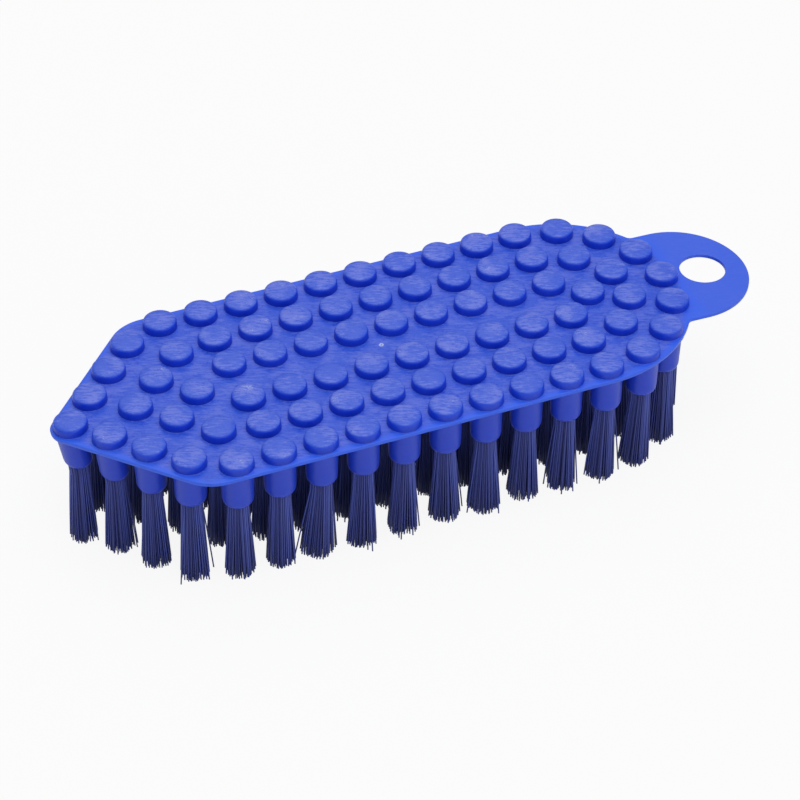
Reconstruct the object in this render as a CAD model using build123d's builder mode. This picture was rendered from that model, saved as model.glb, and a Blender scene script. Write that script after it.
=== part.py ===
from build123d import *
import math
import os

# A palm brush. One flexible moulding makes the whole back: a thin web, round studs on top that the
# palm grips, a round-nosed socket under each stud, and a hang tab. Each socket has a blind hole with
# a tuft of bristles, which a flat wire anchor holds. Millimetres, +Z up. The brush stands on its
# bristle tips, and the origin is on that plane, under the middle of its length. The pointed fore end
# is at -X and the hang tab at +X.

# Rows of tufts across the brush, counted from the pointed fore end to the round heel
row_pitch = 10.0
straight_row_count = 10
first_row_from_tip = 34.8
inner_offset = 6.45
middle_offset = 16.45
outer_offset = 26.45
slant_step_across = 7.3
outer_slant_step = 6.87
middle_slant_step = 7.35

# The round heel, where the outer and middle rings bend round the middle of the last straight row
outer_ring_angle = 22.5
middle_ring_angle = 36.0
inner_ring_reach = 7.25

# The web's outline
tip_margin = 4.7
edge_margin = 4.35
shoulder_radius = 10.8
shoulder_lead = 3.4
web_thickness = 1.0

# The hang tab and its hole
tab_reach = 47.8
tab_radius = 16.8
tab_corner_radius = 1.5
hang_hole_radius = 5.5
hang_hole_inset = 10.5

# Studs and sockets, round on the brush and drawn with a few flat sides each
stud_radius = 4.0
stud_height = 2.4
stud_rounding = 0.6
stud_sides = 12
socket_radius = 3.8
socket_depth = 9.2
socket_sides = 9

# Tufts: a packed root in the hole, and strands that spread towards their tips
tuft_hole_radius = 2.7
tuft_hole_depth = 8.6
nose_rim = 0.25
tuft_clearance = 0.05
bristle_length = 20.4
bristle_spread = 0.9
bristle_trim = 0.5
strand_gap = 0.25
strand_count = 5
tuft_turn_angle = 137.5

# Flat wire anchors
anchor_thickness = 0.4
anchor_height = 1.8
anchor_clearance = 0.1

# Heights and places that follow from those sizes
socket_mouth = bristle_length
web_bottom = socket_mouth + socket_depth
web_top = web_bottom + web_thickness
straight_length = (straight_row_count - 1) * row_pitch
overall_length = first_row_from_tip + straight_length + tab_reach
tip_x = -overall_length / 2
tab_end_x = overall_length / 2
first_row_x = tip_x + first_row_from_tip
heel_x = first_row_x + straight_length
web_half_width = outer_offset + edge_margin
outer_tip_x = tip_x + tip_margin
middle_tip_x = first_row_x - 2 * middle_slant_step
shoulder_x = first_row_x - shoulder_lead
tab_x = tab_end_x - tab_radius
hang_hole_x = tab_end_x - hang_hole_inset
half_sector = math.pi / strand_count
hole_across = 2 * tuft_hole_radius * math.cos(half_sector)
nose_radius = tuft_hole_radius + nose_rim
packed_radius = tuft_hole_radius - tuft_clearance
root_depth = tuft_hole_depth - anchor_height


def both_sides(x, y):
    """The same place on the left and on the right of the centreline."""
    return [(x, y), (x, -y)]


def slant_site(start_x, step_along, steps):
    """A place some steps back along a ring's slanted front, which starts on the centreline."""
    return both_sides(start_x + steps * step_along, steps * slant_step_across)


def heel_site(ring_radius, angle):
    """A place on a ring that bends round the heel, at an angle from the centreline."""
    turn = math.radians(angle)
    return both_sides(heel_x + ring_radius * math.cos(turn), ring_radius * math.sin(turn))


# The fore rows follow the point, the straight rows are all alike, the heel rows follow the arcs
fore_rows = [
    [(outer_tip_x, 0)],
    slant_site(outer_tip_x, outer_slant_step, 1),
    [(middle_tip_x, 0)] + slant_site(outer_tip_x, outer_slant_step, 2),
    slant_site(middle_tip_x, middle_slant_step, 1) + slant_site(outer_tip_x, outer_slant_step, 3),
]
first_row = (
    [(first_row_x, 0)]
    + slant_site(middle_tip_x, middle_slant_step, 2)
    + both_sides(first_row_x, outer_offset)
)
straight_rows = [
    both_sides(first_row_x + row * row_pitch, inner_offset)
    + both_sides(first_row_x + row * row_pitch, middle_offset)
    + both_sides(first_row_x + row * row_pitch, outer_offset)
    for row in range(1, straight_row_count)
]
heel_rows = [
    [(heel_x + inner_ring_reach, 0)]
    + heel_site(middle_offset, 1.5 * middle_ring_angle)
    + heel_site(outer_offset, 3 * outer_ring_angle),
    heel_site(middle_offset, 0.5 * middle_ring_angle)
    + heel_site(outer_offset, 2 * outer_ring_angle),
    [(heel_x + outer_offset, 0)] + heel_site(outer_offset, outer_ring_angle),
]
rows = fore_rows + [first_row] + straight_rows + heel_rows

# Each tuft is turned a little further about its own axis than the one before it
row_places = []
turned_angle = 0
for row_sites in rows:
    places = []
    for x, y in row_sites:
        places.append(Location((x, y, 0), (0, 0, turned_angle)))
        turned_angle += tuft_turn_angle
    row_places.append(places)
all_places = [place for places in row_places for place in places]


# One stud, with its top edge taken off
with BuildPart() as stud:
    with BuildSketch(Plane.XY.offset(web_top)):
        RegularPolygon(stud_radius, stud_sides)
    extrude(amount=stud_height)
    chamfer(stud.edges().group_by(Axis.Z)[-1], stud_rounding)

# One socket, whose nose closes in on the tuft
with BuildPart() as socket:
    with BuildSketch(Plane.XY.offset(socket_mouth)):
        RegularPolygon(socket_radius, socket_sides)
    extrude(amount=socket_depth)
    chamfer(socket.edges().group_by(Axis.Z)[0], socket_radius - nose_radius)

# One blind hole for a tuft and its anchor
with BuildPart() as tuft_hole:
    with BuildSketch(Plane.XY.offset(socket_mouth)):
        RegularPolygon(tuft_hole_radius, strand_count)
    extrude(amount=tuft_hole_depth)


# The back: web, tab, studs and sockets are one shot of plastic
with BuildPart() as flexible_back:
    with BuildSketch(Plane.XY.offset(web_bottom)) as web_outline:
        with BuildLine():
            CenterArc((outer_tip_x, 0), tip_margin, 0, 360)
            for x, y in both_sides(shoulder_x, web_half_width - shoulder_radius):
                CenterArc((x, y), shoulder_radius, 0, 360)
            CenterArc((heel_x, 0), web_half_width, 0, 360)
        make_hull()
        with Locations((tab_x, 0)):
            Circle(tab_radius)
        with Locations((heel_x, 0)):
            Rectangle(tab_x - heel_x, 2 * tab_radius, align=(Align.MIN, Align.CENTER))
        tab_corners = web_outline.vertices().filter_by_position(Axis.X, heel_x, tab_x, (False, False))
        fillet(tab_corners, tab_corner_radius)
        with Locations((hang_hole_x, 0)):
            Circle(hang_hole_radius, mode=Mode.SUBTRACT)
    extrude(amount=web_thickness)
    with Locations(*all_places):
        add(stud.part)
        add(socket.part)
        add(tuft_hole.part, mode=Mode.SUBTRACT)
flexible_back.part.label = "flexible_back"


# One strand, a three-sided sector of the tuft that leans outwards from the mouth to its tip
with BuildPart() as strand:
    with BuildSketch(Plane.XY.offset(socket_mouth)):
        with BuildLine():
            outer_x = packed_radius * math.cos(half_sector)
            outer_y = packed_radius * math.sin(half_sector)
            Polyline((0, 0), (outer_x, -outer_y), (outer_x, outer_y), close=True)
        make_face()
        offset(amount=-strand_gap / 2, kind=Kind.INTERSECTION, mode=Mode.REPLACE)
    lean = Vector(bristle_spread, 0, -bristle_length - bristle_trim)
    extrude(amount=lean.length, dir=lean)

# One tuft: its root is packed into the hole up to the anchor, and its tips are trimmed flat
with BuildPart() as tuft:
    with BuildSketch(Plane.XY.offset(socket_mouth)):
        RegularPolygon(packed_radius, strand_count)
    extrude(amount=root_depth)
    with PolarLocations(0, strand_count, start_angle=math.degrees(half_sector)):
        add(strand.part)
    split(bisect_by=Plane.XY, keep=Keep.TOP)

# One anchor, across the bottom of the hole above the tuft's fold
with BuildPart() as anchor:
    with BuildSketch(Plane.XY.offset(socket_mouth + root_depth)):
        Rectangle(hole_across - 2 * anchor_clearance, anchor_thickness)
    extrude(amount=anchor_height)


os.makedirs("parts", exist_ok=True)
export_step(flexible_back.part, "parts/flexible_back.step")

# Tufts and anchors, a node of each for every row
for number, places in enumerate(row_places, start=1):
    with BuildPart() as tuft_row:
        with Locations(*places):
            add(tuft.part)
    tuft_row.part.label = f"tufts_row_{number:02d}"
    export_step(tuft_row.part, f"parts/tufts_row_{number:02d}.step")
    with BuildPart() as anchor_row:
        with Locations(*places):
            add(anchor.part)
    anchor_row.part.label = f"anchors_row_{number:02d}"
    export_step(anchor_row.part, f"parts/anchors_row_{number:02d}.step")
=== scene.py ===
import math
import random

import bmesh
import bpy
from mathutils import Matrix, Vector


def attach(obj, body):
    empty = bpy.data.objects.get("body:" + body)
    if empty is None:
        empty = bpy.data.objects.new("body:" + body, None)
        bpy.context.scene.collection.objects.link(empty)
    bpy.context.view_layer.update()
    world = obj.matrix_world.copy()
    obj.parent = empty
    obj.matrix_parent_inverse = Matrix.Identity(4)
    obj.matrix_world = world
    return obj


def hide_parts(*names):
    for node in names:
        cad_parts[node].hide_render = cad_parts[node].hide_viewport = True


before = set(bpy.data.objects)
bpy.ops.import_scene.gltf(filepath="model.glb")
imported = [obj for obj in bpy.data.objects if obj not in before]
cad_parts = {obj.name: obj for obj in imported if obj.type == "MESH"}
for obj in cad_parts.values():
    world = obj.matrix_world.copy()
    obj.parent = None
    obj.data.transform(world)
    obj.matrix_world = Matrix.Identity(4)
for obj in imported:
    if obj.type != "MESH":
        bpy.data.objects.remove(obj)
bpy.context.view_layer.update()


# ---- The flexible back -------------------------------------------------------------------------
# The back is one shot of soft blue plastic: a thin web with a hang tab, a grip stud on top of each
# tuft and a round-nosed socket under it. It is one closed shell here. The studs, sockets and hole
# are turned, the web's edge is bridged from outlines, and the two flat faces are filled between.
mm = 0.001
half_turn = math.pi

# Where the tufts stand, in rows across the brush from the pointed fore end to the heel
row_pitch = 10.0 * mm
straight_row_count = 10
first_row_x = -51.5 * mm
inner_offset = 6.45 * mm
middle_offset = 16.45 * mm
outer_offset = 26.45 * mm
slant_step_across = 7.3 * mm
outer_tip_x = -81.6 * mm
outer_slant_step = 6.87 * mm
middle_tip_x = -66.2 * mm
middle_slant_step = 7.35 * mm
heel_x = 38.5 * mm
outer_ring_angle = math.radians(22.5)
middle_ring_angle = math.radians(36)
inner_ring_reach = 7.25 * mm


def both_sides(x, y):
    """The same place on the left and on the right of the centreline."""
    return [(x, y), (x, -y)]


def slant_site(start_x, step_along, steps):
    """A place some steps back along a ring's slanted front, which starts on the centreline."""
    return both_sides(start_x + steps * step_along, steps * slant_step_across)


def heel_site(ring_radius, turn):
    """A place on a ring that bends round the heel, at an angle from the centreline."""
    return both_sides(heel_x + ring_radius * math.cos(turn), ring_radius * math.sin(turn))


rows = [
    [(outer_tip_x, 0)],
    slant_site(outer_tip_x, outer_slant_step, 1),
    [(middle_tip_x, 0)] + slant_site(outer_tip_x, outer_slant_step, 2),
    slant_site(middle_tip_x, middle_slant_step, 1) + slant_site(outer_tip_x, outer_slant_step, 3),
    [(first_row_x, 0)]
    + slant_site(middle_tip_x, middle_slant_step, 2)
    + both_sides(first_row_x, outer_offset),
]
for step in range(1, straight_row_count):
    row_x = first_row_x + step * row_pitch
    rows.append(
        both_sides(row_x, inner_offset)
        + both_sides(row_x, middle_offset)
        + both_sides(row_x, outer_offset)
    )
rows += [
    [(heel_x + inner_ring_reach, 0)]
    + heel_site(middle_offset, 1.5 * middle_ring_angle)
    + heel_site(outer_offset, 3 * outer_ring_angle),
    heel_site(middle_offset, 0.5 * middle_ring_angle)
    + heel_site(outer_offset, 2 * outer_ring_angle),
    [(heel_x + outer_offset, 0)] + heel_site(outer_offset, outer_ring_angle),
]

# Heights above the bristle tips
socket_mouth = 20.4 * mm
web_bottom = 29.6 * mm
web_top = 30.6 * mm
bore_end = 29.0 * mm

# The web's outline: a hull round four circles, and the tab with its two small corners
web_half_width = 30.8 * mm
tip_radius = 4.7 * mm
shoulder_radius = 10.8 * mm
shoulder_x = -54.9 * mm
shoulder_y = web_half_width - shoulder_radius
tab_radius = 16.8 * mm
tab_x = 69.5 * mm
corner_radius = 1.5 * mm
corner_angle = math.asin((tab_radius + corner_radius) / (web_half_width + corner_radius))
corner_x = heel_x + (web_half_width + corner_radius) * math.cos(corner_angle)
corner_y = tab_radius + corner_radius
outline_pitch = 0.8 * mm
fewest_arc_steps = 4
edge_rounding = 0.20 * mm
edge_steps = 3
weld = 0.001 * mm


def tangent_angle(x_one, radius_one, x_two, y_two, radius_two, y_one=0):
    """The direction in which the line that touches two of the outline's circles faces."""
    along = math.atan2(y_two - y_one, x_two - x_one)
    apart = math.hypot(x_two - x_one, y_two - y_one)
    return along + math.acos((radius_one - radius_two) / apart)


fore_angle = tangent_angle(outer_tip_x, tip_radius, shoulder_x, shoulder_y, shoulder_radius)
side_angle = tangent_angle(
    shoulder_x, shoulder_radius, heel_x, 0, web_half_width, y_one=shoulder_y
)


def web_outline(mesh, growth, height):
    """The web's outline at one height, grown outwards a little: one side, then its mirror."""
    stretches = [
        (outer_tip_x, 0, tip_radius, growth, half_turn, fore_angle),
        (shoulder_x, shoulder_y, shoulder_radius, growth, fore_angle, side_angle),
        (heel_x, 0, web_half_width, growth, side_angle, corner_angle),
        (corner_x, corner_y, corner_radius, -growth, half_turn + corner_angle, 1.5 * half_turn),
        (tab_x, 0, tab_radius, growth, half_turn / 2, 0),
    ]
    known, last = set(mesh.verts), None
    for x, y, radius, change, start, end in stretches:
        reach = radius + change
        first = mesh.verts.new((x + reach * math.cos(start), y + reach * math.sin(start), height))
        if last:
            mesh.edges.new((last, first))
        spun = bmesh.ops.spin(
            mesh, geom=[first], cent=(x, y, height), axis=(0, 0, 1), angle=end - start,
            steps=max(fewest_arc_steps, round(abs(end - start) * radius / outline_pitch)),
        )
        last = spun["geom_last"][0]
    points = [point for point in mesh.verts if point not in known]
    lines = [line for line in mesh.edges if line.verts[0] not in known]
    bmesh.ops.mirror(mesh, geom=points + lines, axis="Y", merge_dist=weld)
    points = [point for point in mesh.verts if point not in known]
    bmesh.ops.remove_doubles(mesh, verts=points, dist=weld)
    return [line for line in mesh.edges if line.verts[0] not in known]


def corner_points(across, up, reach, rise, start, end, steps):
    """Points round a corner of a turned profile, between two angles in degrees."""
    turns = [math.radians(start + (end - start) * step / steps) for step in range(steps + 1)]
    return [(across + reach * math.cos(turn), up + rise * math.sin(turn)) for turn in turns]


def turned(name, profile, sides):
    """A shape turned about the Z axis from a profile of (radius, height) points."""
    lathe = bmesh.new()
    points = [lathe.verts.new((radius, 0, height)) for radius, height in profile]
    line = [lathe.edges.new(pair) for pair in zip(points, points[1:])]
    bmesh.ops.spin(
        lathe, geom=points + line, cent=(0, 0, 0), axis=(0, 0, 1), angle=2 * half_turn,
        steps=sides, use_merge=True,
    )
    bmesh.ops.remove_doubles(lathe, verts=lathe.verts, dist=weld)
    shape = bpy.data.meshes.new(name)
    lathe.to_mesh(shape)
    lathe.free()
    return shape


# A stud, from the small fillet at its foot over a soft shoulder to its slight crown
stud_radius = 4.0 * mm
stud_height = 2.4 * mm
stud_draft = 0.03 * mm
stud_rounding = 0.52 * mm
stud_shoulder = 0.95 * mm
foot_fillet = 0.10 * mm
crown_height = 0.25 * mm
ring_sides = 36
fillet_steps = 2
shoulder_steps = 6
shoulder_end = 80
crown_steps = 5
stud_top = web_top + stud_height
crest_radius = stud_radius - stud_draft - stud_rounding
crown_foot = stud_top - crown_height
stud_profile = (
    corner_points(
        stud_radius + foot_fillet, web_top + foot_fillet, foot_fillet, foot_fillet,
        270, 180, fillet_steps,
    )
    + corner_points(
        crest_radius, crown_foot - stud_shoulder, stud_rounding, stud_shoulder,
        0, shoulder_end, shoulder_steps,
    )
    + corner_points(0, crown_foot, crest_radius, crown_height, 0, 90, crown_steps)[1:]
)

# A socket, from its foot under the web to its round nose, and the blind hole for the tuft
socket_radius = 3.82 * mm
socket_draft = 0.18 * mm
nose_height = 1.6 * mm
mouth_radius = 2.8 * mm
mouth_lip = 0.15 * mm
bore_radius = 2.65 * mm
nose_steps = 6
nose_reach = socket_radius - socket_draft - mouth_radius
socket_profile = (
    corner_points(
        socket_radius + foot_fillet, web_bottom - foot_fillet, foot_fillet, foot_fillet,
        90, 180, fillet_steps,
    )
    + corner_points(
        mouth_radius, socket_mouth + nose_height, nose_reach, nose_height, 0, -90, nose_steps
    )
    + [
        (bore_radius, socket_mouth + mouth_lip),
        (bore_radius, bore_end),
        (0, bore_end),
    ]
)

# The wall of the hang hole, with both its rims rounded
hang_hole_x = 75.8 * mm
hang_hole_radius = 5.5 * mm
hang_hole_sides = 64
hole_rim = hang_hole_radius + edge_rounding
hole_profile = corner_points(
    hole_rim, web_top - edge_rounding, edge_rounding, edge_rounding, 90, 180, edge_steps
) + corner_points(
    hole_rim, web_bottom + edge_rounding, edge_rounding, edge_rounding, 180, 270, edge_steps
)

# The small raised ring that the mould's gate leaves near the middle of the web
gate_place = (-6.2 * mm, 0.9 * mm)
gate_radius = 0.6 * mm
gate_height = 0.14 * mm
gate_rim_share = 0.3
gate_sides = 16
gate_steps = 4
gate_profile = corner_points(
    (1 - gate_rim_share) * gate_radius, web_top, gate_rim_share * gate_radius, gate_height,
    0, 180, gate_steps,
) + [(0, web_top)]

shell = bmesh.new()
edge_profile = corner_points(
    -edge_rounding, web_top - edge_rounding, edge_rounding, edge_rounding, 90, 0, edge_steps
) + corner_points(
    -edge_rounding, web_bottom + edge_rounding, edge_rounding, edge_rounding, 0, -90, edge_steps
)
outlines = [web_outline(shell, growth, height) for growth, height in edge_profile]
for upper, lower in zip(outlines, outlines[1:]):
    bmesh.ops.bridge_loops(shell, edges=upper + lower)

tuft_places = [site for row in rows for site in row]
turned_parts = [
    (turned("stud", stud_profile, ring_sides), tuft_places),
    (turned("socket", socket_profile, ring_sides), tuft_places),
    (turned("hang_hole", hole_profile, hang_hole_sides), [(hang_hole_x, 0)]),
    (turned("gate_mark", gate_profile, gate_sides), [gate_place]),
]
for shape, places in turned_parts:
    for x, y in places:
        place = Matrix.Translation((x, y, 0))
        shape.transform(place)
        shell.from_mesh(shape)
        shape.transform(place.inverted())
    bpy.data.meshes.remove(shape)

for face in shell.faces:
    face.smooth = True
for height in (web_top, web_bottom):
    rims = [
        edge for edge in shell.edges
        if edge.is_boundary and all(abs(end.co.z - height) < weld for end in edge.verts)
    ]
    bmesh.ops.triangle_fill(shell, use_beauty=True, edges=rims, normal=(0, 0, 1))
bmesh.ops.recalc_face_normals(shell, faces=shell.faces)

# The soft back isn't quite straight: its two ends hang down a little, and the sockets there lean
# inwards. Each bend and lean is a curvature per metre.
heel_bend_start = 45.0 * mm
heel_bend = 1.3
fore_bend_start = -68.0 * mm
fore_bend = 3.0
fore_lean = 9.0


def settle(mesh):
    """Bend a piece with the soft back that carries it. Bristles keep their tips on the floor."""
    for point in mesh.verts:
        behind = max(0, point.co.x - heel_bend_start)
        ahead = max(0, fore_bend_start - point.co.x)
        depth = min(max(0, web_top - point.co.z), web_top - socket_mouth)
        point.co.x += (fore_lean * ahead - heel_bend * behind) * depth
        droop = 0.5 * (heel_bend * behind * behind + fore_bend * ahead * ahead)
        point.co.z -= droop * point.co.z / web_top


straight_height = shell.verts.layers.float.new("straight_height")
for point in shell.verts:
    point[straight_height] = point.co.z
settle(shell)

back_mesh = bpy.data.meshes.new("moulded_back")
shell.to_mesh(back_mesh)
shell.free()
back = bpy.data.objects.new("moulded_back", back_mesh)
bpy.context.scene.collection.objects.link(back)


class Signal:
    """A shader socket that Python's own sums and products turn into Math nodes."""

    def __init__(self, socket):
        self.socket = socket

    def combine(self, operation, first, second):
        return add_node(
            self.socket.id_data, "ShaderNodeMath", {"operation": operation}, {0: first, 1: second}
        )

    def __add__(self, other):
        return self.combine("ADD", self, other)

    def __sub__(self, other):
        return self.combine("SUBTRACT", self, other)

    def __rsub__(self, other):
        return self.combine("SUBTRACT", other, self)

    def __mul__(self, other):
        return self.combine("MULTIPLY", self, other)

    def smaller(self, other):
        return self.combine("MINIMUM", self, other)

    def larger(self, other):
        return self.combine("MAXIMUM", self, other)

    __radd__ = __add__
    __rmul__ = __mul__


def add_node(tree, kind, settings, inputs, output=0):
    """One node with its settings made first, then its sockets' values and links."""
    node = tree.nodes.new(kind)
    for name, value in settings.items():
        setattr(node, name, value)
    for name, value in inputs.items():
        if isinstance(value, Signal):
            tree.links.new(value.socket, node.inputs[name])
        else:
            node.inputs[name].default_value = value
    return Signal(node.outputs[output]) if node.outputs else None


def new_finish(name):
    """An empty material, with its node tree."""
    finish = bpy.data.materials.new(name)
    finish.use_nodes = True
    finish.node_tree.nodes.clear()
    return finish, finish.node_tree


def soft_step(tree, value, low, high):
    """0 below low, 1 above high, with a smooth way between."""
    return add_node(
        tree, "ShaderNodeMapRange", {"interpolation_type": "SMOOTHSTEP"},
        {"Value": value, "From Min": low, "From Max": high},
    )


def mixed(tree, amount, one, other):
    """A colour that goes from one to the other by an amount."""
    return add_node(
        tree, "ShaderNodeMix", {"data_type": "RGBA"}, {"Factor": amount, "A": one, "B": other},
        output="Result",
    )


# The moulded colour, each stud's side with painted shade towards its foot and painted light
# towards its rim, a painted sheen on the upward faces and the pits in them, painted light on the
# thin lip and tab, the marks of wear with a painted highlight on the crowns, and the gate's ring
plastic_blue = (0.014, 0.056, 0.640, 1)
painted_foot_shade_blue = (0.004, 0.032, 0.500, 1)
painted_rim_light_blue = (0.010, 0.068, 0.820, 1)
painted_sheen_blue = (0.039, 0.117, 0.765, 1)
pit_blue = (0.012, 0.060, 0.660, 1)
painted_lip_light_blue = (0.036, 0.142, 0.960, 1)
painted_tab_light_blue = (0.052, 0.142, 0.880, 1)
scuff_and_highlight_blue = (0.155, 0.215, 0.820, 1)
fleck_blue = (0.34, 0.42, 0.88, 1)
gate_white = (0.55, 0.62, 0.95, 1)
scuff_angle = math.radians(-22)
scuff_stretch = (2.4, 0.6, 1)
scuff_scale = 1000
cloud_scale = 160
grain_scale = 2600
upward_facing_range = (0.3, 0.95)
scuff_edge = (0.45, 0.61)
fleck_edge = (0.62, 0.70)
pit_edge = (0.50, 0.36)
side_wear = 0.04
palm_wear = 0.62
crown_wear_and_highlight = 0.38
tab_fade = 2.0 * mm
lip_inner_edge = 2.4 * mm
lip_outer_edge = 0.4 * mm
lip_light_strength = 0.9
pit_strength = 0.8
painted_crown_highlight = 0.14
back_finish, tree = new_finish("soft_blue_plastic")
coordinates = add_node(tree, "ShaderNodeTexCoord", {}, {}, output="Object")

# Drawn-out scuffs, broad clouds and the fine grain of the plastic
scuff_coordinates = add_node(
    tree, "ShaderNodeMapping", {"vector_type": "TEXTURE"},
    {"Vector": coordinates, "Rotation": (0, 0, scuff_angle), "Scale": scuff_stretch},
)
scuffs = add_node(
    tree, "ShaderNodeTexNoise", {},
    {"Vector": scuff_coordinates, "Scale": scuff_scale, "Detail": 5, "Roughness": 0.75},
)
clouds = add_node(
    tree, "ShaderNodeTexNoise", {}, {"Vector": coordinates, "Scale": cloud_scale, "Detail": 3},
)
grain = add_node(
    tree, "ShaderNodeTexNoise", {}, {"Vector": coordinates, "Scale": grain_scale, "Detail": 2},
)

# Where a point is on the brush, and how high it stood before the back sagged
axes = add_node(tree, "ShaderNodeSeparateXYZ", {}, {"Vector": coordinates})
x_axis, y_axis = (Signal(axes.socket.node.outputs[name]) for name in "XY")
moulded_height = add_node(
    tree, "ShaderNodeAttribute", {"attribute_name": "straight_height"}, {}, output="Fac",
)

# How far it lies inside the web's edge, from its slanted front or its sides and round heel
across = add_node(tree, "ShaderNodeMath", {"operation": "ABSOLUTE"}, {0: y_axis})
slant_depth = (
    (x_axis - outer_tip_x) * -math.cos(fore_angle) + across * -math.sin(fore_angle) + tip_radius
)
past_heel = add_node(
    tree, "ShaderNodeCombineXYZ", {}, {"X": (x_axis - heel_x).larger(0), "Y": y_axis},
)
heel_reach = add_node(
    tree, "ShaderNodeVectorMath", {"operation": "LENGTH"}, {0: past_heel}, output="Value",
)
lip_depth = slant_depth.smaller(web_half_width - heel_reach)
on_web = soft_step(tree, moulded_height, web_bottom - foot_fillet, web_bottom) * soft_step(
    tree, moulded_height, web_top + 2 * foot_fillet, web_top
)
on_tab = soft_step(
    tree, x_axis - heel_x, web_half_width - tab_fade, web_half_width + tab_fade
)
# Painted light on the thin lip along the web's edge
painted_lip_light = soft_step(tree, lip_depth, lip_inner_edge, lip_outer_edge) * on_web
crown = soft_step(tree, moulded_height, stud_top - 1.5 * crown_height, stud_top)

# Which faces look up, where a painted sheen and scuffs lie, and how far a place is scuffed, most
# on the studs' crowns, which also get a painted highlight
facing = add_node(tree, "ShaderNodeTexCoord", {}, {}, output="Normal")
facing_up = add_node(tree, "ShaderNodeSeparateXYZ", {}, {"Vector": facing}, output="Z")
upward_sheen_and_wear = soft_step(tree, facing_up, *upward_facing_range)
scuffed = soft_step(tree, scuffs * 0.65 + clouds * 0.35, *scuff_edge)
# Wear marks, and a painted highlight on each stud's crown, laid partly through the scuffs and
# partly evenly over the crown
wear_and_crown_highlight = scuffed * (side_wear + palm_wear * upward_sheen_and_wear + crown_wear_and_highlight * crown) + painted_crown_highlight * crown
flecks = soft_step(tree, grain * 0.4 + clouds * 0.6, *fleck_edge) * crown

# The colours, each laid over the ones before it
# Painted shade darkens each stud's side towards its foot, and painted light brightens it towards
# its rim
stud_side_painted_shading = add_node(
    tree, "ShaderNodeMapRange", {},
    {"Value": moulded_height, "From Min": web_top, "From Max": crown_foot},
)
above_web = soft_step(tree, moulded_height, web_top, web_top + foot_fillet)
colour = mixed(tree, above_web, plastic_blue, mixed(tree, stud_side_painted_shading, painted_foot_shade_blue, painted_rim_light_blue))
# A painted sheen pales the upward faces
colour = mixed(tree, upward_sheen_and_wear, colour, painted_sheen_blue)
pits = soft_step(tree, scuffs * 0.6 + grain * 0.4, *pit_edge) * upward_sheen_and_wear
colour = mixed(tree, pits * pit_strength, colour, pit_blue)
colour = mixed(tree, wear_and_crown_highlight, colour, scuff_and_highlight_blue)
colour = mixed(tree, flecks, colour, fleck_blue)
# Painted light on the lip and tab, where light would pass through the thin plastic
colour = mixed(tree, painted_lip_light * lip_light_strength, colour, mixed(tree, on_tab, painted_lip_light_blue, painted_tab_light_blue))
gate_distance = add_node(
    tree, "ShaderNodeVectorMath", {"operation": "DISTANCE"},
    {0: coordinates, 1: (*gate_place, web_top)}, output="Value",
)
gate_ring = soft_step(tree, gate_distance, 1.1 * gate_radius, 0.8 * gate_radius) * soft_step(
    tree, gate_distance, 0.2 * gate_radius, 0.5 * gate_radius
)
colour = mixed(tree, gate_ring, colour, gate_white)
relief = add_node(
    tree, "ShaderNodeBump", {},
    {"Strength": 0.35, "Distance": 0.05 * mm, "Height": scuffs * 0.7 + grain * 0.3},
)
surface = add_node(
    tree, "ShaderNodeBsdfPrincipled", {},
    {
        "Base Color": colour, "Roughness": 0.26 + 0.12 * clouds + 0.10 * scuffs,
        "IOR": 1.44, "Normal": relief,
    },
)
add_node(tree, "ShaderNodeOutputMaterial", {}, {"Surface": surface})
back_mesh.materials.append(back_finish)

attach(back, "root")
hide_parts("flexible_back")


# ---- The bristle tufts -------------------------------------------------------------------------
# Each tuft is a bundle of dark blue nylon filaments, folded in half and driven into its socket.
# The filaments are packed straight in the hole, then spread and lean a little differently in each
# tuft, and their cut ends are ragged. Each row across the brush is one piece.
filament_count = 170
filament_radius = 0.17 * mm
filament_sides = 5
root_end = 27.0 * mm
packed_radius = 2.25 * mm
golden_angle = math.radians(137.508)
ring_shares = (0.34, 0.5, 0.68, 0.85)

rod = bmesh.new()
bmesh.ops.create_cone(
    rod, cap_ends=True, segments=filament_sides, radius1=filament_radius,
    radius2=filament_radius, depth=1,
)
bmesh.ops.translate(rod, vec=(0, 0, -0.5), verts=rod.verts)
for ring_share in ring_shares:
    bmesh.ops.bisect_plane(
        rod, geom=rod.verts[:] + rod.edges[:] + rod.faces[:], plane_co=(0, 0, -ring_share),
        plane_no=(0, 0, 1),
    )
for face in rod.faces:
    face.smooth = abs(face.normal.z) < 0.5
filament = bpy.data.meshes.new("filament")
rod.to_mesh(filament)
rod.free()

# How far, in millimetres, the tips of the tuft on the near side of each row lean along the brush
# and across it, and how many times wider than its root that tuft is at its tips
near_leans = (
    (-0.86, -2.25), (-0.56, -1.65), (-0.66, -2.05), (-0.81, -2.35), (-0.36, -0.65), (-0.66, -0.95),
    (-1.66, -0.55), (-1.06, -1.25), (-0.76, -0.65), (-0.06, -0.25), (-0.66, -0.95), (-0.36, 0.05),
    (-0.81, -0.55), (-0.86, -0.55), (-1.36, -0.95), (-0.86, -1.25), (-0.86, -0.05),
)
near_spreads = (
    1.63, 1.58, 1.63, 1.51, 1.55, 1.45, 1.75, 1.61, 1.58, 1.63, 1.63, 1.63, 1.51, 1.48, 1.53, 1.43,
    1.43,
)

# The other tufts lean and spread by luck, between these
other_lean_along = (-0.9, 0.1)
other_lean_across = (-1.1, -0.2)
other_spread = (1.55, 1.8)

# How the filaments of one tuft differ: they gather in a few clumps, wander sideways, bow, end at
# different lengths, and a few at the rim stray. Lengths in millimetres.
clump_count = 4
clump_swirl = 2
clump_spread = 0.16
clump_wander = 0.22
side_wander = 0.12
rim_share = 0.85
stray_chance = 0.08
stray_reach = (0.4, 1.6)
trim_wander = 0.12
trim_limit = 0.5
short_chance = 0.03
short_reach = (0.3, 0.9)
bow_range = (-0.1, 0.25)
tone_luck = 0.35
streak_count = 3
streak_swirl = 5

luck = random.Random(11)


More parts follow.
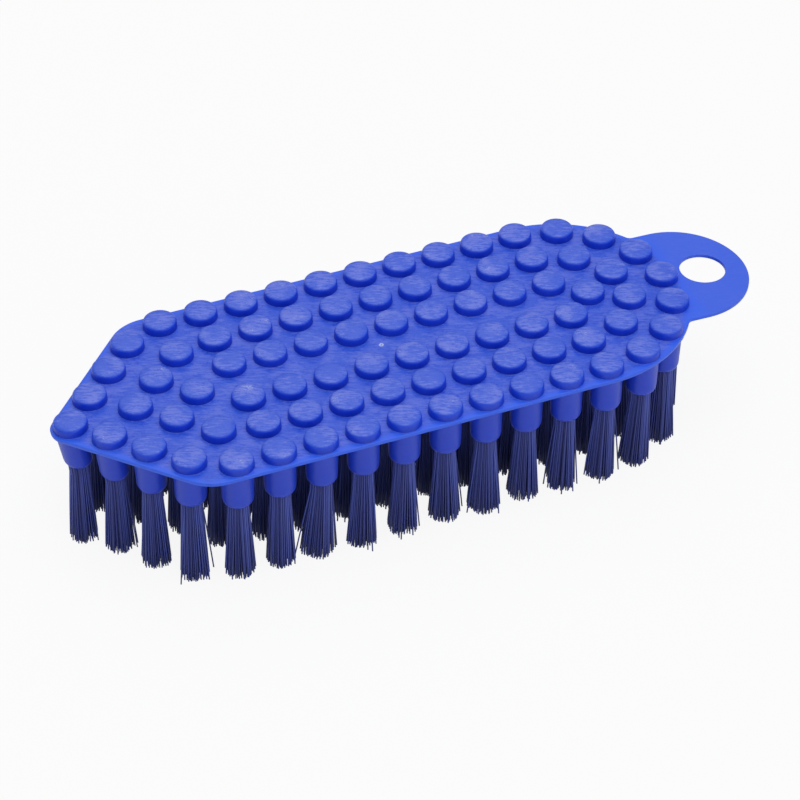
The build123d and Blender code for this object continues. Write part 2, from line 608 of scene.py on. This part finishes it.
def bundle(mesh, shade_layer, x, y, lean_x, lean_y, spread):
    """One tuft at a place: packed in its hole, then spread, with a lean and a few strays."""
    tuft_turn = luck.uniform(0, 2 * half_turn)
    clump_turn = luck.uniform(0, 2 * half_turn)
    for number in range(filament_count):
        share = math.sqrt((number + 0.5) / filament_count)
        turn = number * golden_angle + tuft_turn
        reach = packed_radius * share
        root = Vector((reach * math.cos(turn), reach * math.sin(turn), 0))
        clump = math.sin(clump_count * turn + clump_turn + clump_swirl * share)
        outward = reach * (spread - 1) * (1 + clump_spread * clump)
        if share > rim_share and luck.random() < stray_chance:
            outward += luck.uniform(*stray_reach) * mm
        gathered = clump_wander * share * math.cos(clump_count * turn + clump_turn)
        side = (luck.gauss(0, side_wander) + gathered) * mm
        tip = root + Vector((
            outward * math.cos(turn) - side * math.sin(turn) + lean_x,
            outward * math.sin(turn) + side * math.cos(turn) + lean_y,
            0,
        ))
        trim = min(abs(luck.gauss(0, trim_wander)), trim_limit) * mm
        if luck.random() < short_chance:
            trim += luck.uniform(*short_reach) * mm
        bow = luck.uniform(*bow_range)
        streak = 0.5 + 0.5 * math.sin(streak_count * turn + streak_swirl * share)
        tone = tone_luck * luck.random() + (1 - tone_luck) * streak
        before = len(mesh.verts)
        mesh.from_mesh(filament)
        mesh.verts.ensure_lookup_table()
        for point in mesh.verts[before:]:
            height = root_end + (root_end - trim) * point.co.z
            free = max(0, (socket_mouth - height) / socket_mouth)
            sweep = free * (1 + bow * (1 - free))
            centre = root.lerp(tip, sweep)
            point[shade_layer] = tone
            point.co = (x + centre.x + point.co.x, y + centre.y + point.co.y, height)


nylon_dark = (0.017, 0.027, 0.175, 1)
nylon_light = (0.106, 0.152, 0.640, 1)
streak_stretch = (1, 1, 0.08)
streak_scale = 1500
bristle_finish, tree = new_finish("navy_nylon")
tone = add_node(tree, "ShaderNodeAttribute", {"attribute_name": "tone"}, {}, output="Fac")
coordinates = add_node(tree, "ShaderNodeTexCoord", {}, {}, output="Object")
drawn_out = add_node(
    tree, "ShaderNodeMapping", {}, {"Vector": coordinates, "Scale": streak_stretch},
)
streaks = add_node(
    tree, "ShaderNodeTexNoise", {}, {"Vector": drawn_out, "Scale": streak_scale, "Detail": 2},
)
up = add_node(tree, "ShaderNodeSeparateXYZ", {}, {"Vector": coordinates}, output="Z")
# The filaments' own tone and streaks, with painted shade darkening them towards their tips
filament_tone_and_tip_shade = (tone * 0.75 + streaks * 0.25) * (0.5 + 0.5 * soft_step(tree, up, 0, socket_mouth))
grooves = add_node(
    tree, "ShaderNodeBump", {}, {"Strength": 0.1, "Distance": 0.02 * mm, "Height": streaks},
)
surface = add_node(
    tree, "ShaderNodeBsdfPrincipled", {},
    {
        "Base Color": mixed(tree, filament_tone_and_tip_shade, nylon_dark, nylon_light),
        "Roughness": 0.38 + 0.2 * streaks, "IOR": 1.5, "Normal": grooves,
    },
)
add_node(tree, "ShaderNodeOutputMaterial", {}, {"Surface": surface})

for row_number, row in enumerate(rows, start=1):
    tufts = bmesh.new()
    shade_layer = tufts.verts.layers.float.new("tone")
    near_side = min(y for x, y in row)
    for x, y in row:
        if y == near_side:
            (lean_x, lean_y), spread = near_leans[row_number - 1], near_spreads[row_number - 1]
        else:
            lean_x, lean_y = luck.uniform(*other_lean_along), luck.uniform(*other_lean_across)
            spread = luck.uniform(*other_spread)
        bundle(tufts, shade_layer, x, y, lean_x * mm, lean_y * mm, spread)
    settle(tufts)
    row_mesh = bpy.data.meshes.new(f"bristles_row_{row_number:02d}")
    tufts.to_mesh(row_mesh)
    tufts.free()
    row_mesh.materials.append(bristle_finish)
    bristles = bpy.data.objects.new(f"bristles_row_{row_number:02d}", row_mesh)
    bpy.context.scene.collection.objects.link(bristles)
    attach(bristles, "root")
    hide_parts(f"tufts_row_{row_number:02d}")
bpy.data.meshes.remove(filament)


# ---- The anchors -------------------------------------------------------------------------------
# A flat piece of drawn steel wire is punched across the fold of each tuft and bites into the
# socket. These are the plain bars of the source, hidden in their holes, with a drawn-wire finish.
steel_dark = (0.42, 0.42, 0.41, 1)
steel_light = (0.62, 0.62, 0.60, 1)
draw_stretch = (1, 1, 14)
draw_scale = 700
wire_finish, tree = new_finish("drawn_steel_wire")
coordinates = add_node(tree, "ShaderNodeTexCoord", {}, {}, output="Object")
along_wire = add_node(
    tree, "ShaderNodeMapping", {}, {"Vector": coordinates, "Scale": draw_stretch},
)
drawn = add_node(
    tree, "ShaderNodeTexNoise", {}, {"Vector": along_wire, "Scale": draw_scale, "Detail": 3},
)
surface = add_node(
    tree, "ShaderNodeBsdfPrincipled", {},
    {
        "Base Color": mixed(tree, drawn, steel_dark, steel_light),
        "Roughness": 0.28 + 0.2 * drawn, "Metallic": 1,
    },
)
add_node(tree, "ShaderNodeOutputMaterial", {}, {"Surface": surface})
for row_number in range(1, len(rows) + 1):
    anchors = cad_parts[f"anchors_row_{row_number:02d}"]
    anchors.data.materials.clear()
    anchors.data.materials.append(wire_finish)


# ---- Floor and light ---------------------------------------------------------------------------
# A pale floor that the brush stands on. To the camera, and in part in reflections, it glows almost
# white and keeps the brush's soft shadow. To everything else it is plain white paint.
floor_size = 6.0
floor_white = (0.84, 0.84, 0.84, 1)
glow_share = 0.9
reflected_share = 0.4
floor_mesh = bpy.data.meshes.new("floor")
sheet = bmesh.new()
bmesh.ops.create_grid(sheet, x_segments=1, y_segments=1, size=floor_size / 2)
sheet.to_mesh(floor_mesh)
sheet.free()
floor = bpy.data.objects.new("floor", floor_mesh)
bpy.context.scene.collection.objects.link(floor)
floor_finish, tree = new_finish("white_floor")
paint = add_node(tree, "ShaderNodeBsdfDiffuse", {}, {"Color": floor_white})
glow = add_node(tree, "ShaderNodeEmission", {}, {"Color": (1, 1, 1, 1), "Strength": 1})
rays = add_node(tree, "ShaderNodeLightPath", {}, {}, output="Is Camera Ray").socket.node.outputs
seen = Signal(rays["Is Camera Ray"]).larger(reflected_share * Signal(rays["Is Glossy Ray"]))
floor_surface = add_node(
    tree, "ShaderNodeMixShader", {}, {0: seen * glow_share, 1: paint, 2: glow}, output="Shader",
)
add_node(tree, "ShaderNodeOutputMaterial", {}, {"Surface": floor_surface})
floor_mesh.materials.append(floor_finish)

# The room around it gives even light, and is white to the camera
room_light = 0.40
world = bpy.data.worlds.new("studio")
world.use_nodes = True
world.node_tree.nodes.clear()
bpy.context.scene.world = world
tree = world.node_tree
rays = add_node(tree, "ShaderNodeLightPath", {}, {}, output="Is Camera Ray")
room = add_node(
    tree, "ShaderNodeBackground", {},
    {"Color": (1, 1, 1, 1), "Strength": room_light + (1 - room_light) * rays},
)
add_node(tree, "ShaderNodeOutputWorld", {}, {"Surface": room})

# Three softboxes: one overhead, one low in front and one high behind
brush_middle = Vector((0, 0, 0.5 * web_top))


def softbox(name, watts, width, depth, place):
    """A rectangular studio lamp that faces the middle of the brush."""
    lamp = bpy.data.lights.new(name, "AREA")
    lamp.shape = "RECTANGLE"
    lamp.size, lamp.size_y, lamp.energy = width, depth, watts
    holder = bpy.data.objects.new(name, lamp)
    holder.location = place
    holder.rotation_euler = (brush_middle - Vector(place)).to_track_quat("-Z", "Y").to_euler()
    bpy.context.scene.collection.objects.link(holder)


softbox("top_softbox", watts=9.4, width=1.4, depth=1.2, place=(0.10, -0.10, 1.45))
softbox("front_softbox", watts=2.5, width=1.4, depth=0.6, place=(0.30, -1.25, 0.40))
softbox("back_softbox", watts=2.6, width=1.0, depth=0.8, place=(0.17, 1.10, 1.40))

# The camera stands where the photograph was taken from, with a long lens
camera_azimuth = math.radians(-21.94)
camera_elevation = math.radians(40.05)
camera_distance = 0.7339
camera_aim = Vector((-9.59, -19.05, 30.6)) * mm
lens_length = 145.79
sight = Vector((
    math.sin(camera_azimuth) * math.cos(camera_elevation),
    -math.cos(camera_azimuth) * math.cos(camera_elevation),
    math.sin(camera_elevation),
))
lens = bpy.data.cameras.new("camera")
lens.lens = lens_length
lens.sensor_width = 36
lens.clip_start = 0.05
camera = bpy.data.objects.new("camera", lens)
camera.location = camera_aim + camera_distance * sight
camera.rotation_euler = (-sight).to_track_quat("-Z", "Y").to_euler()
bpy.context.scene.collection.objects.link(camera)
bpy.context.scene.camera = camera
bpy.context.scene.view_settings.view_transform = "Standard"
